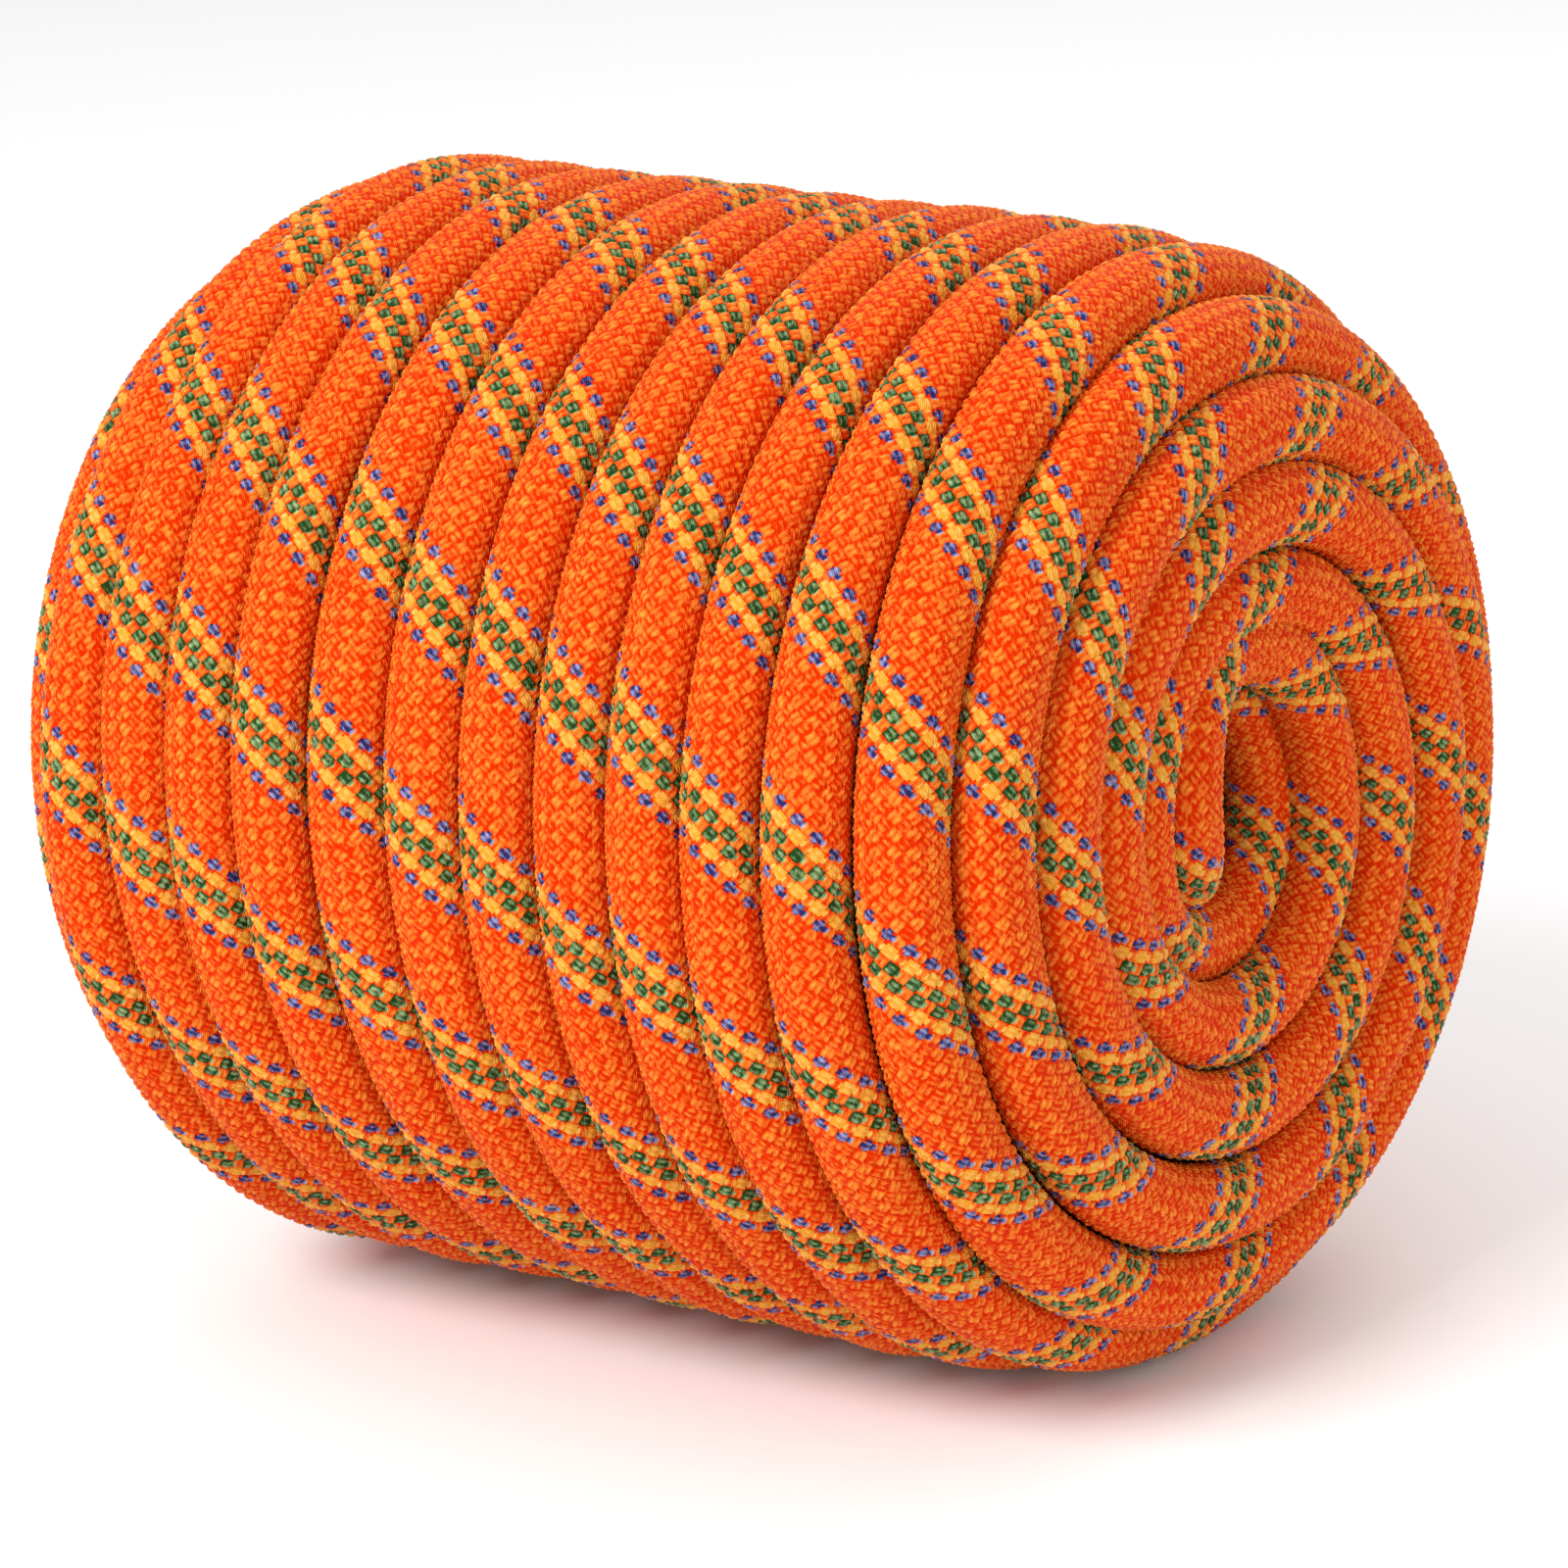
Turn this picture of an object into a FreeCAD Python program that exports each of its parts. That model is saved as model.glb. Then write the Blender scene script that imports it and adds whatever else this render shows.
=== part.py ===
"""A 10 mm dynamic climbing rope, 20 m long, wound into a short cylinder that lies on its side.

Millimetres, +Z up. The winding runs round the X axis, its spiral face looks along +X, and the origin is
at the bottom centre of the whole part. The coil is two closed solids: the wound barrel, and the flat
spiral that closes its +X end. Both ends of the rope are built as they would come apart: a woven sheath
tube, twelve core strands, an identity tape, a label band, a shrink sleeve and a fused cap.
"""
import FreeCAD, Part
import math
import os

import Sketcher

Vector = FreeCAD.Vector
Rotation = FreeCAD.Rotation
Placement = FreeCAD.Placement

DRIVING_SIZES = {
    "rope_diameter": 10.0,
    "coil_radius": 71.5,
    "coil_length": 124.5,
    "bore_radius": 11.5,
    "rest_depth": 1.6,
    "lean_up": 4.5,
    "lean_back": 8.4,
    "spiral_rise": 5.0,
    "spiral_hole_radius": 14.0,
    "spiral_clearance": 1.7,
    "rim_rounding": 4.0,
    "sheath_wall": 1.1,
    "strand_diameter": 1.7,
    "outer_strand_ring": 2.9,
    "inner_strand_ring": 1.02,
    "tape_width": 1.2,
    "tape_thickness": 0.08,
    "tape_ring": 3.8,
    "label_wall": 0.1,
    "label_length": 12.0,
    "label_inset": 2.5,
    "sleeve_wall": 0.25,
    "sleeve_length": 17.0,
    "cap_length": 2.0,
    "cap_rounding": 1.4,
}
OUTER_STRANDS = 9
INNER_STRANDS = 3
TRIM_SIZE = 400.0

# Routes of the two free ends, each flat and running from the coil to the cap. The inner end lies along the
# bottom of the bore. The outer end lies on the flat -X face, (up, back) from the coil's axis.
INNER_END_ROUTE = [(0.0, 1.4), (34.0, -1.6), (72.0, 1.8), (106.0, -0.6)]
OUTER_END_ROUTE = [(24.0, 50.0), (-10.0, 53.0), (-37.0, 32.0), (-43.0, -1.0), (-24.0, -28.0), (7.0, -34.0)]
INNER_END_START = 38.0
INNER_END_OFFSET = 5.4

doc = FreeCAD.newDocument("climbing_rope")
sheet = doc.addObject("Spreadsheet::Sheet", "Sizes")
for row, (alias, value) in enumerate(DRIVING_SIZES.items(), start=1):
    sheet.set(f"A{row}", alias.replace("_", " "))
    sheet.set(f"B{row}", str(value))
    sheet.setAlias(f"B{row}", alias)
doc.recompute()


def size(alias):
    """A driving size read back from the sheet."""
    return float(sheet.get(alias))


def primitive(kind, name, **bindings):
    """A Part primitive whose properties follow expressions on the sheet."""
    obj = doc.addObject(kind, name)
    for prop, expression in bindings.items():
        obj.setExpression(prop, expression)
    return obj


def cut(name, base, tool):
    obj = doc.addObject("Part::Cut", name)
    obj.Base = base
    obj.Tool = tool
    return obj


# The coil leans: the plane of each turn is tipped a little off square to the X axis.
TURN_RADIUS = size("coil_radius") - size("rope_diameter") / 2
FACE_NORMAL = Vector(1.0, -size("lean_back") / TURN_RADIUS, size("lean_up") / TURN_RADIUS)
FACE_NORMAL.normalize()
TURN_TILT = Rotation(Vector(1, 0, 0), FACE_NORMAL)
AXIS_HEIGHT = size("coil_radius") - size("rest_depth")
HALF_LENGTH = size("coil_length") / 2
ALONG_X = Rotation(Vector(0, 0, 1), Vector(1, 0, 0))


def on_axis(x):
    """A point on the coil's own axis."""
    return Vector(x, 0, AXIS_HEIGHT)


def end_trim(name, x, side):
    """A block that cuts the barrel along the plane of a turn, side being +1 or -1 along X."""
    block = primitive("Part::Box", name)
    block.Length = block.Width = block.Height = TRIM_SIZE
    back = 0.0 if side > 0 else -TRIM_SIZE
    corner = TURN_TILT.multVec(Vector(back, -TRIM_SIZE / 2, -TRIM_SIZE / 2))
    block.Placement = Placement(on_axis(x) + corner, TURN_TILT)
    return block


def left_rim(shape):
    """The number of the barrel's outer rim edge at its -X end."""
    rims = [
        (edge.CenterOfMass.x, number)
        for number, edge in enumerate(shape.Edges, start=1)
        if edge.Length > size("coil_radius") * 5
    ]
    return min(rims)[1]


def wound_coil():
    """The barrel of wound turns: bored, leaning at both ends, and flat where it rests."""
    length = "Sizes.coil_length * 1.5"
    barrel = primitive("Part::Cylinder", "barrel", Radius="Sizes.coil_radius", Height=length)
    barrel.Placement = Placement(on_axis(-0.75 * size("coil_length")), ALONG_X)
    left_cut = cut("barrel_left", barrel, end_trim("left_trim", -HALF_LENGTH, -1))
    right_face = HALF_LENGTH - size("rope_diameter")
    both_cut = cut("barrel_trimmed", left_cut, end_trim("right_trim", right_face, 1))
    doc.recompute()
    rounded = doc.addObject("Part::Fillet", "barrel_rounded")
    rounded.Base = both_cut
    rounded.Edges = [(left_rim(both_cut.Shape), size("rim_rounding"), size("rim_rounding"))]
    bore = primitive("Part::Cylinder", "bore", Radius="Sizes.bore_radius", Height=length)
    bore.Placement = barrel.Placement
    bored = cut("barrel_bored", rounded, bore)
    floor = primitive("Part::Box", "floor_trim")
    floor.Length = floor.Width = floor.Height = TRIM_SIZE
    floor.Placement.Base = Vector(-TRIM_SIZE / 2, -TRIM_SIZE / 2, -TRIM_SIZE)
    return [cut("wound_coil", bored, floor)]


def sketch_on(body, name, role="XY_Plane"):
    """A sketch attached to one of its own body's origin planes."""
    sketch = body.newObject("Sketcher::SketchObject", name)
    plane = next(feature for feature in body.Origin.OriginFeatures if feature.Role == role)
    sketch.AttachmentSupport = [(plane, "")]
    sketch.MapMode = "FlatFace"
    return sketch


def hold(sketch, kind, corner, value, rule):
    """Holds one corner's distance from the sketch's origin to an expression on the sheet."""
    number = sketch.addConstraint(Sketcher.Constraint(kind, -1, 1, corner, 1, value))
    name = f"corner{corner}{kind}"
    sketch.renameConstraint(number, name)
    sketch.setExpression(f"Constraints.{name}", rule)


def spiral_outline(sketch):
    """Half the section of the spiral disc: a slab whose outer side rises in a low cone to the hole."""
    hole = size("spiral_hole_radius")
    outer = size("coil_radius") - size("spiral_clearance")
    rope = size("rope_diameter")
    outer_rule = "Sizes.coil_radius - Sizes.spiral_clearance"
    corners = [Vector(0, hole), Vector(0, outer), Vector(rope, outer), Vector(rope + size("spiral_rise"), hole)]
    for start, end in zip(corners, corners[1:] + corners[:1]):
        sketch.addGeometry(Part.LineSegment(start, end), False)
    for line in range(4):
        sketch.addConstraint(Sketcher.Constraint("Coincident", line, 2, (line + 1) % 4, 1))
    sketch.addConstraint(Sketcher.Constraint("PointOnObject", 0, 1, -2))
    sketch.addConstraint(Sketcher.Constraint("PointOnObject", 1, 1, -2))
    hold(sketch, "DistanceY", 0, hole, "Sizes.spiral_hole_radius")
    hold(sketch, "DistanceY", 1, outer, outer_rule)
    hold(sketch, "DistanceX", 2, rope, "Sizes.rope_diameter")
    hold(sketch, "DistanceY", 2, outer, outer_rule)
    hold(sketch, "DistanceX", 3, rope + size("spiral_rise"), "Sizes.rope_diameter + Sizes.spiral_rise")
    hold(sketch, "DistanceY", 3, hole, "Sizes.spiral_hole_radius")


def face_spiral():
    """The flat spiral of turns on the +X end: a disc with a low rise and a round hole in its middle."""
    body = doc.addObject("PartDesign::Body", "face_spiral")
    sketch = sketch_on(body, "spiral_outline")
    spiral_outline(sketch)
    turned = body.newObject("PartDesign::Revolution", "spiral_turned")
    turned.Profile = sketch
    turned.ReferenceAxis = (sketch, ["H_Axis"])
    turned.Angle = 360.0
    doc.recompute()
    rims = [
        f"Edge{number}"
        for number, edge in enumerate(turned.Shape.Edges, start=1)
        if isinstance(edge.Curve, Part.Circle) and edge.CenterOfMass.x > size("rope_diameter") / 2
    ]
    rounding = body.newObject("PartDesign::Fillet", "spiral_rims")
    rounding.Base = (turned, rims)
    rounding.setExpression("Radius", "Sizes.rim_rounding")
    body.Tip = rounding
    body.Placement = Placement(on_axis(HALF_LENGTH - size("rope_diameter")), TURN_TILT)
    return [body]


def rounded_route(name, points):
    """Straight runs joined by tangent arcs, each arc as large as its two runs allow. Prints the radii."""
    corners = [Vector(x, y, 0) for x, y in points]
    edges = []
    radii = []
    start = corners[0]
    for before, corner, after in zip(corners, corners[1:], corners[2:]):
        come = (corner - before).normalize()
        go = (after - corner).normalize()
        half_turn = come.getAngle(go) / 2
        reach = 0.45 * min((corner - before).Length, (after - corner).Length)
        radius = reach / math.tan(half_turn)
        arc_start = corner - come * reach
        arc_end = corner + go * reach
        inward = (go - come).normalize()
        middle = corner + inward * (radius / math.cos(half_turn) - radius)
        edges.append(Part.LineSegment(start, arc_start).toShape())
        edges.append(Part.Arc(arc_start, middle, arc_end).toShape())
        radii.append(round(radius, 1))
        start = arc_end
    edges.append(Part.LineSegment(start, corners[-1]).toShape())
    route = doc.addObject("Part::Feature", f"{name}_route")
    route.Shape = Part.Wire(edges)
    print(name, "arc radii", radii, "length", round(route.Shape.Length, 1))
    return route


def section_placement(points, across, above):
    """Where a section stands at the start of a route, moved sideways within the rope."""
    start, following = (Vector(x, y, 0) for x, y in points[:2])
    heading = (following - start).normalize()
    sideways = Vector(-heading.y, heading.x, 0)
    facing = Rotation(sideways, Vector(0, 0, 1), heading, "ZXY")
    return Placement(start + sideways * across + Vector(0, 0, above), facing)


def swept(name, section, route):
    """A section carried along a route as a solid."""
    sweep = doc.addObject("Part::Sweep", name)
    sweep.Sections = [section]
    sweep.Spine = (route, [f"Edge{i + 1}" for i in range(len(route.Shape.Edges))])
    sweep.Solid = True
    sweep.Frenet = False
    return sweep


def round_strand(name, radius_rule, points, route, across=0.0, above=0.0):
    circle = primitive("Part::Circle", f"{name}_section", Radius=radius_rule)
    circle.Placement = section_placement(points, across, above)
    return swept(name, circle, route)


def sheath(name, points, route):
    """The woven outer tube of the rope."""
    outside = round_strand(f"{name}_outside", "Sizes.rope_diameter / 2", points, route)
    bore_rule = "Sizes.rope_diameter / 2 - Sizes.sheath_wall"
    inside = round_strand(f"{name}_inside", bore_rule, points, route)
    return cut(f"{name}_sheath", outside, inside)


def core_strands(name, points, route):
    """Nine strands round three, each with a little play."""
    strands = []
    for count, ring in ((OUTER_STRANDS, "outer_strand_ring"), (INNER_STRANDS, "inner_strand_ring")):
        for i in range(count):
            angle = 2 * math.pi * i / count
            across = size(ring) * math.cos(angle)
            above = size(ring) * math.sin(angle)
            label = f"{name}_core_strand_{len(strands) + 1:02d}"
            strands.append(round_strand(label, "Sizes.strand_diameter / 2", points, route, across, above))
    return strands


def identity_tape(name, points, route):
    """The thin tape that lies between the core and the sheath."""
    start = section_placement(points, 0.0, size("tape_ring"))
    half_width = size("tape_width") / 2
    half_thick = size("tape_thickness") / 2
    corners = [(half_width, half_thick), (-half_width, half_thick), (-half_width, -half_thick)]
    corners.append((half_width, -half_thick))
    outline = Part.makePolygon([start.multVec(Vector(x, y, 0)) for x, y in corners + corners[:1]])
    section = doc.addObject("Part::Feature", f"{name}_tape_section")
    section.Shape = outline
    return swept(f"{name}_identity_tape", section, route)


def ring(name, inner_rule, outer_rule, length_rule, back_rule):
    """A plain tube round the rope near its end, back_rule being how far it starts behind the end."""
    outside = primitive("Part::Cylinder", f"{name}_outside", Radius=outer_rule, Height=length_rule)
    inside = primitive("Part::Cylinder", f"{name}_inside", Radius=inner_rule, Height=length_rule)
    for cylinder in (outside, inside):
        cylinder.setExpression("Placement.Base.z", f"-({back_rule})")
    return cut(name, outside, inside)


def fused_cap(name):
    """The melted end of the rope: a short plug with a rounded rim."""
    body = doc.addObject("PartDesign::Body", f"{name}_fused_cap")
    sketch = sketch_on(body, f"{name}_cap_outline")
    sketch.addGeometry(Part.Circle(Vector(0, 0, 0), Vector(0, 0, 1), size("rope_diameter") / 2), False)
    sketch.addConstraint(Sketcher.Constraint("Coincident", 0, 3, -1, 1))
    radius = sketch.addConstraint(Sketcher.Constraint("Radius", 0, size("rope_diameter") / 2))
    sketch.renameConstraint(radius, "cap_radius")
    sketch.setExpression("Constraints.cap_radius", "Sizes.rope_diameter / 2")
    pad = body.newObject("PartDesign::Pad", f"{name}_cap_pad")
    pad.Profile = sketch
    pad.setExpression("Length", "Sizes.cap_length")
    doc.recompute()
    far_rim = [
        f"Edge{number}"
        for number, edge in enumerate(pad.Shape.Edges, start=1)
        if isinstance(edge.Curve, Part.Circle) and edge.CenterOfMass.z > size("cap_length") / 2
    ]
    rounding = body.newObject("PartDesign::Fillet", f"{name}_cap_rim")
    rounding.Base = (pad, far_rim)
    rounding.setExpression("Radius", "Sizes.cap_rounding")
    body.Tip = rounding
    return body


def end_fittings(name):
    """The label band, the shrink sleeve over it and the fused cap, built looking along +Z at the end."""
    rope_radius = "Sizes.rope_diameter / 2"
    over_label = f"{rope_radius} + Sizes.label_wall"
    over_sleeve = f"{over_label} + Sizes.sleeve_wall"
    label_back = "Sizes.label_length + Sizes.label_inset"
    label = ring(f"{name}_label_band", rope_radius, over_label, "Sizes.label_length", label_back)
    sleeve_back = "Sizes.sleeve_length"
    sleeve = ring(f"{name}_shrink_sleeve", over_label, over_sleeve, "Sizes.sleeve_length", sleeve_back)
    return [label, sleeve, fused_cap(name)]


def rope_end(name, points, frame):
    """Everything on one free end of the rope, laid along its route in its own frame."""
    route = rounded_route(name, points)
    lengthwise = [sheath(name, points, route)]
    lengthwise += core_strands(name, points, route)
    lengthwise.append(identity_tape(name, points, route))
    for piece in lengthwise:
        piece.Placement = frame
    before_last, last = (Vector(x, y, 0) for x, y in points[-2:])
    heading = (last - before_last).normalize()
    end_frame = Placement(last, Rotation(Vector(0, 0, 1), heading))
    fittings = end_fittings(name)
    for piece in fittings:
        piece.Placement = frame.multiply(end_frame)
    return lengthwise + fittings


def bore_frame():
    """The inner end's frame: its first axis runs down the bore and its third points down at its wall."""
    facing = Rotation(Vector(-1, 0, 0), Vector(0, 1, 0), Vector(0, 0, -1), "ZXY")
    return Placement(on_axis(INNER_END_START) - Vector(0, 0, INNER_END_OFFSET), facing)


def left_face_frame():
    """The outer end's frame on the -X face: up, back and outwards, standing off by the sleeve's radius."""
    outward = FACE_NORMAL * -1
    back = outward.cross(Vector(0, 0, 1)).normalize()
    up = back.cross(outward)
    stand_off = size("rope_diameter") / 2 + size("label_wall") + size("sleeve_wall")
    facing = Rotation(up, back, outward, "ZXY")
    return Placement(on_axis(-HALF_LENGTH) + outward * stand_off, facing)


def check_sound():
    """Stops if any feature failed or any sub-part is empty or broken."""
    doc.recompute()
    for obj in doc.Objects:
        failed = {"Invalid", "Error"} & set(obj.State)
        if failed:
            raise RuntimeError(f"{obj.Name}: {failed}")
    for piece in pieces:
        if piece.Shape.isNull() or not piece.Shape.isValid():
            raise RuntimeError(f"{piece.Label} has no sound shape")


def centre_pieces():
    """Moves every piece along X and Y so that the origin is at the bottom centre of them all."""
    box = FreeCAD.BoundBox()
    for piece in pieces:
        box.add(piece.Shape.optimalBoundingBox(True, False))
    shift = Vector(-box.Center.x, -box.Center.y, 0)
    for piece in pieces:
        piece.Placement = Placement(shift, Rotation()).multiply(piece.Placement)
    print("shift", [round(v, 3) for v in shift])
    print("box", [round(v, 2) for v in (box.XLength, box.YLength, box.ZLength, box.ZMin)])


pieces = wound_coil() + face_spiral()
pieces += rope_end("inner_end", INNER_END_ROUTE, bore_frame())
pieces += rope_end("outer_end", OUTER_END_ROUTE, left_face_frame())
check_sound()
centre_pieces()
check_sound()
os.makedirs("parts", exist_ok=True)
for piece in pieces:
    piece.Label = piece.Name
    piece.Shape.exportStep(f"parts/{piece.Label}.step")
    print(piece.Label, round(piece.Shape.Volume, 1))
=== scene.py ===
"""Looks for a 10 mm climbing rope, 20 m long, wound into a short cylinder that lies on its side.

Everything is in metres, in the CAD's frame: the winding runs round the X axis, and the spiral face looks
along +X. The whole rope is one cord on one NURBS route. A braided sheath of separate carriers is built
over the stretches of it that show, apart from the middle of the bore and one side of a gap at the -X end.
Both of its ends are finished with a label, a clear shrink sleeve and a fused cap.
"""
import math

import bmesh
import bpy
import numpy as np
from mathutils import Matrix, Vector


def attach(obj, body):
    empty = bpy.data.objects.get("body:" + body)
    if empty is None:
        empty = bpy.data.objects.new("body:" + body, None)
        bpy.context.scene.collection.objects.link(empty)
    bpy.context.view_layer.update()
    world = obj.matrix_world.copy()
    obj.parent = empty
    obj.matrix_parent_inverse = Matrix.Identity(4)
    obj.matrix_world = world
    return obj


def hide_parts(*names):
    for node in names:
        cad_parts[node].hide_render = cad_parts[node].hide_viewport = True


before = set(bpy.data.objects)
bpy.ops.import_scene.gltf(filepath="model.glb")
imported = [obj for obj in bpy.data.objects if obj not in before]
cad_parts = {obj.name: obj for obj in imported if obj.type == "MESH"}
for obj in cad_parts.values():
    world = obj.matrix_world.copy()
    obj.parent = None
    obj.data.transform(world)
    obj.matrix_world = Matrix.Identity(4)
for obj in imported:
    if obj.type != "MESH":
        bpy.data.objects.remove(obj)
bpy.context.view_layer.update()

# ---------------------------------------------------------------- sizes of the rope and the coil
# The rope, and the plain tube under its braid.
ROPE_RADIUS = 0.005
CORE_RADIUS = 0.0045
# The coil's middle along X, its axis over the floor, and the centreline of an outside turn off the axis.
COIL_MIDDLE = 0.002869
AXIS_HEIGHT = 0.0699
TURN_RADIUS = 0.0665
# How far along X the turns' planes lean over one radius, and the plane of the -X face along the axis.
LEAN_BACK = 0.0084
LEAN_UP = 0.0045
LEFT_PLANE = -0.06225

# ---------------------------------------------------------------- the route
# Two starts of rope come out of the hole of the spiral face, cross it side by side, tip over its rim and
# run back along the outside. RINGS are the places (along the axis, from the axis) that they take in turn,
# from the hole over the rim to the -X end. On the near side the inner start has the first, the outer start
# the second, and so on. Turns are counted from the top and run clockwise seen from +X.
RINGS = [
    (0.0510, 0.0155), (0.0590, 0.0205), (0.0612, 0.0312), (0.0620, 0.0419), (0.0603, 0.0526),
    (0.0548, 0.0622), (0.0448, 0.0663), (0.0345, 0.0665), (0.0245, 0.0665), (0.0145, 0.0665),
    (0.0045, 0.0665), (-0.0055, 0.0665), (-0.0165, 0.0665), (-0.0275, 0.0665), (-0.0370, 0.0665),
    (-0.0467, 0.0665), (-0.0563, 0.0665), (-0.0630, 0.0598),
]
FIRST_RING = -0.5
# Where the inner start joins the face, at ring number 0.
INNER_JOINS = (0.0585, 0.0195)
# Hidden layers under the outside turns, from the outermost to the one round the bore, the turns in each,
# and their ends along the axis.
LAYER_RADII = [0.0565, 0.0465, 0.0365, 0.0265, 0.0165]
LAYER_TURNS = 11.5
LAYER_LEFT = -0.05725
LAYER_RIGHT = 0.0470
# How far inside its -X end the outermost layer starts, because the last outside turn lies beside it.
FIRST_LAYER_INSET = 0.004
# Turns that the rope takes to step from one layer to the next.
STEP_TURNS = 0.3
# Control points for each turn.
VISIBLE_STEPS = 16
HIDDEN_STEPS = 12
# Places read from the route for each control point.
ROUTE_RESOLUTION = 8
# The lowest that the rope's centreline may lie, and how far hand winding strays to either side.
FLOOR_CLEARANCE = 0.005
UNEVENNESS = 0.00025
# The turns at which the hidden layers begin and end, and at which the outer start begins.
LAYERS_START = 8.25
LAYERS_END = LAYERS_START + LAYER_TURNS * len(LAYER_RADII)
OUTER_START = LAYERS_END + 0.75
# The last ring number of each start, and where the inner one turns in under the outside turns.
INNER_LAST_RING = 15.5
OUTER_LAST_RING = 16.5
INNER_TURNS_IN = (-0.0560, 0.0640)

# The two free ends, repeated from part.py's routes and placed in the row frame. The inner end lies along
# the bottom of the bore; the outer end lies on the -X face as (up, back) from the coil's axis.
INNER_END_ROUTE = [(0.0, 0.0014), (0.034, -0.0016), (0.072, 0.0018), (0.106, -0.0006)]
OUTER_END_ROUTE = [
    (0.024, 0.050), (-0.010, 0.053), (-0.037, 0.032), (-0.043, -0.001), (-0.024, -0.028), (0.007, -0.034),
]
# Where the inner end's route starts along the axis and how far under the axis it lies, and how far the
# outer end stands off its face.
INNER_END_START = 0.038
INNER_END_DEPTH = 0.0054
OUTER_END_STAND_OFF = 0.00535
# From the bore round its mouth to the first turn of the face, as (along, across, up) from the axis.
CURL_OUT = [
    (0.0475, 0.0005, -0.0060), (0.0545, -0.0055, -0.0060), (0.0585, -0.0130, -0.0005),
    (0.0590, -0.0155, 0.0100), (0.0575, -0.0105, 0.0195),
]
# The last turn leaves the rim and lies on the -X face: turns after the last ring, and places.
LEFT_RIM = [(0.15, -0.0650, 0.0582), (0.30, -0.0670, 0.0565)]
# The rings of the face are a little off the coil's axis, less so towards the rim, by this power of the
# radius. The face begins here along the axis.
RING_OFFSET = Vector((0.0, -0.0015, 0.0030))
OFFSET_POWER = 4
FACE_FROM = 0.045


def lean(y, z):
    """How far the plane of a turn is shifted along X at a place beside the axis."""
    return LEAN_BACK * y / TURN_RADIUS - LEAN_UP * z / TURN_RADIUS


def turn_point(turn, along, radius, steps):
    """A control point of a turn. It stands out from the turn so that the curve has the turn's radius."""
    angle = math.tau * turn
    reach = radius / math.cos(math.pi / steps)
    y = reach * math.sin(angle)
    z = reach * math.cos(angle)
    place = Vector((COIL_MIDDLE + along + lean(y, z), y, AXIS_HEIGHT + z))
    if along > FACE_FROM:
        place += RING_OFFSET * (1 - (min(radius, TURN_RADIUS) / TURN_RADIUS) ** OFFSET_POWER)
    place.z = max(place.z, FLOOR_CLEARANCE)
    return place


def wander(turn):
    """Slow unevenness of hand winding, from -1 to 1."""
    return 0.6 * math.sin(2.31 * turn + 0.7) + 0.4 * math.sin(5.17 * turn + 2.1)


def wound(stations, steps):
    """Control points through stations, steps for each turn, without the last station.

    The radius strays by the same waves as the place along the axis, read 40 turns on.
    """
    turns, along, radii = (np.array(column) for column in zip(*stations))
    count = round((turns[-1] - turns[0]) * steps)
    points = []
    for i in range(count):
        turn = turns[0] + i / steps
        x = np.interp(turn, turns, along) + UNEVENNESS * wander(turn)
        radius = np.interp(turn, turns, radii) + UNEVENNESS * wander(turn + 40)
        points.append(turn_point(turn, x, radius, steps))
    return points


def start_stations(shift, joins, last):
    """Stations of one start through the rings, up to ring number last. A start takes two rings a turn."""
    numbers = [FIRST_RING + i for i in range(len(RINGS))]
    inside = [(number, *place) for number, place in zip(numbers, RINGS) if 0 < number <= last]
    return [(shift + number / 2, x, radius) for number, x, radius in [(0, *joins)] + inside]


def layer_stations(first_turn):
    """Stations of the hidden layers, which run to and fro along the axis, each inside the last."""
    stations = []
    turn = first_turn
    left, right = LAYER_LEFT + FIRST_LAYER_INSET, LAYER_RIGHT
    for number, radius in enumerate(LAYER_RADII):
        start, end = (left, right) if number % 2 == 0 else (right, LAYER_LEFT)
        left = LAYER_LEFT
        stations.append((turn + STEP_TURNS / 2, start, radius))
        turn += LAYER_TURNS
        stations.append((turn - STEP_TURNS / 2, end, radius))
    return stations


def inner_end_points():
    """The inner end from its cap to the face, in the row frame."""
    points = []
    for along, across in INNER_END_ROUTE:
        x = COIL_MIDDLE + INNER_END_START - along
        points.append(Vector((x, across, AXIS_HEIGHT - INNER_END_DEPTH)))
    curl = [Vector((COIL_MIDDLE + x, y, AXIS_HEIGHT + z)) for x, y, z in CURL_OUT]
    return points[::-1] + curl


def outer_end_points():
    """The outer end on the -X face, in the row frame."""
    outward = -Vector((1.0, -LEAN_BACK / TURN_RADIUS, LEAN_UP / TURN_RADIUS)).normalized()
    back = outward.cross(Vector((0, 0, 1))).normalized()
    up = back.cross(outward)
    middle = Vector((COIL_MIDDLE + LEFT_PLANE, 0, AXIS_HEIGHT)) + outward * OUTER_END_STAND_OFF
    return [middle + up * rise + back * behind for rise, behind in OUTER_END_ROUTE]


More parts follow.
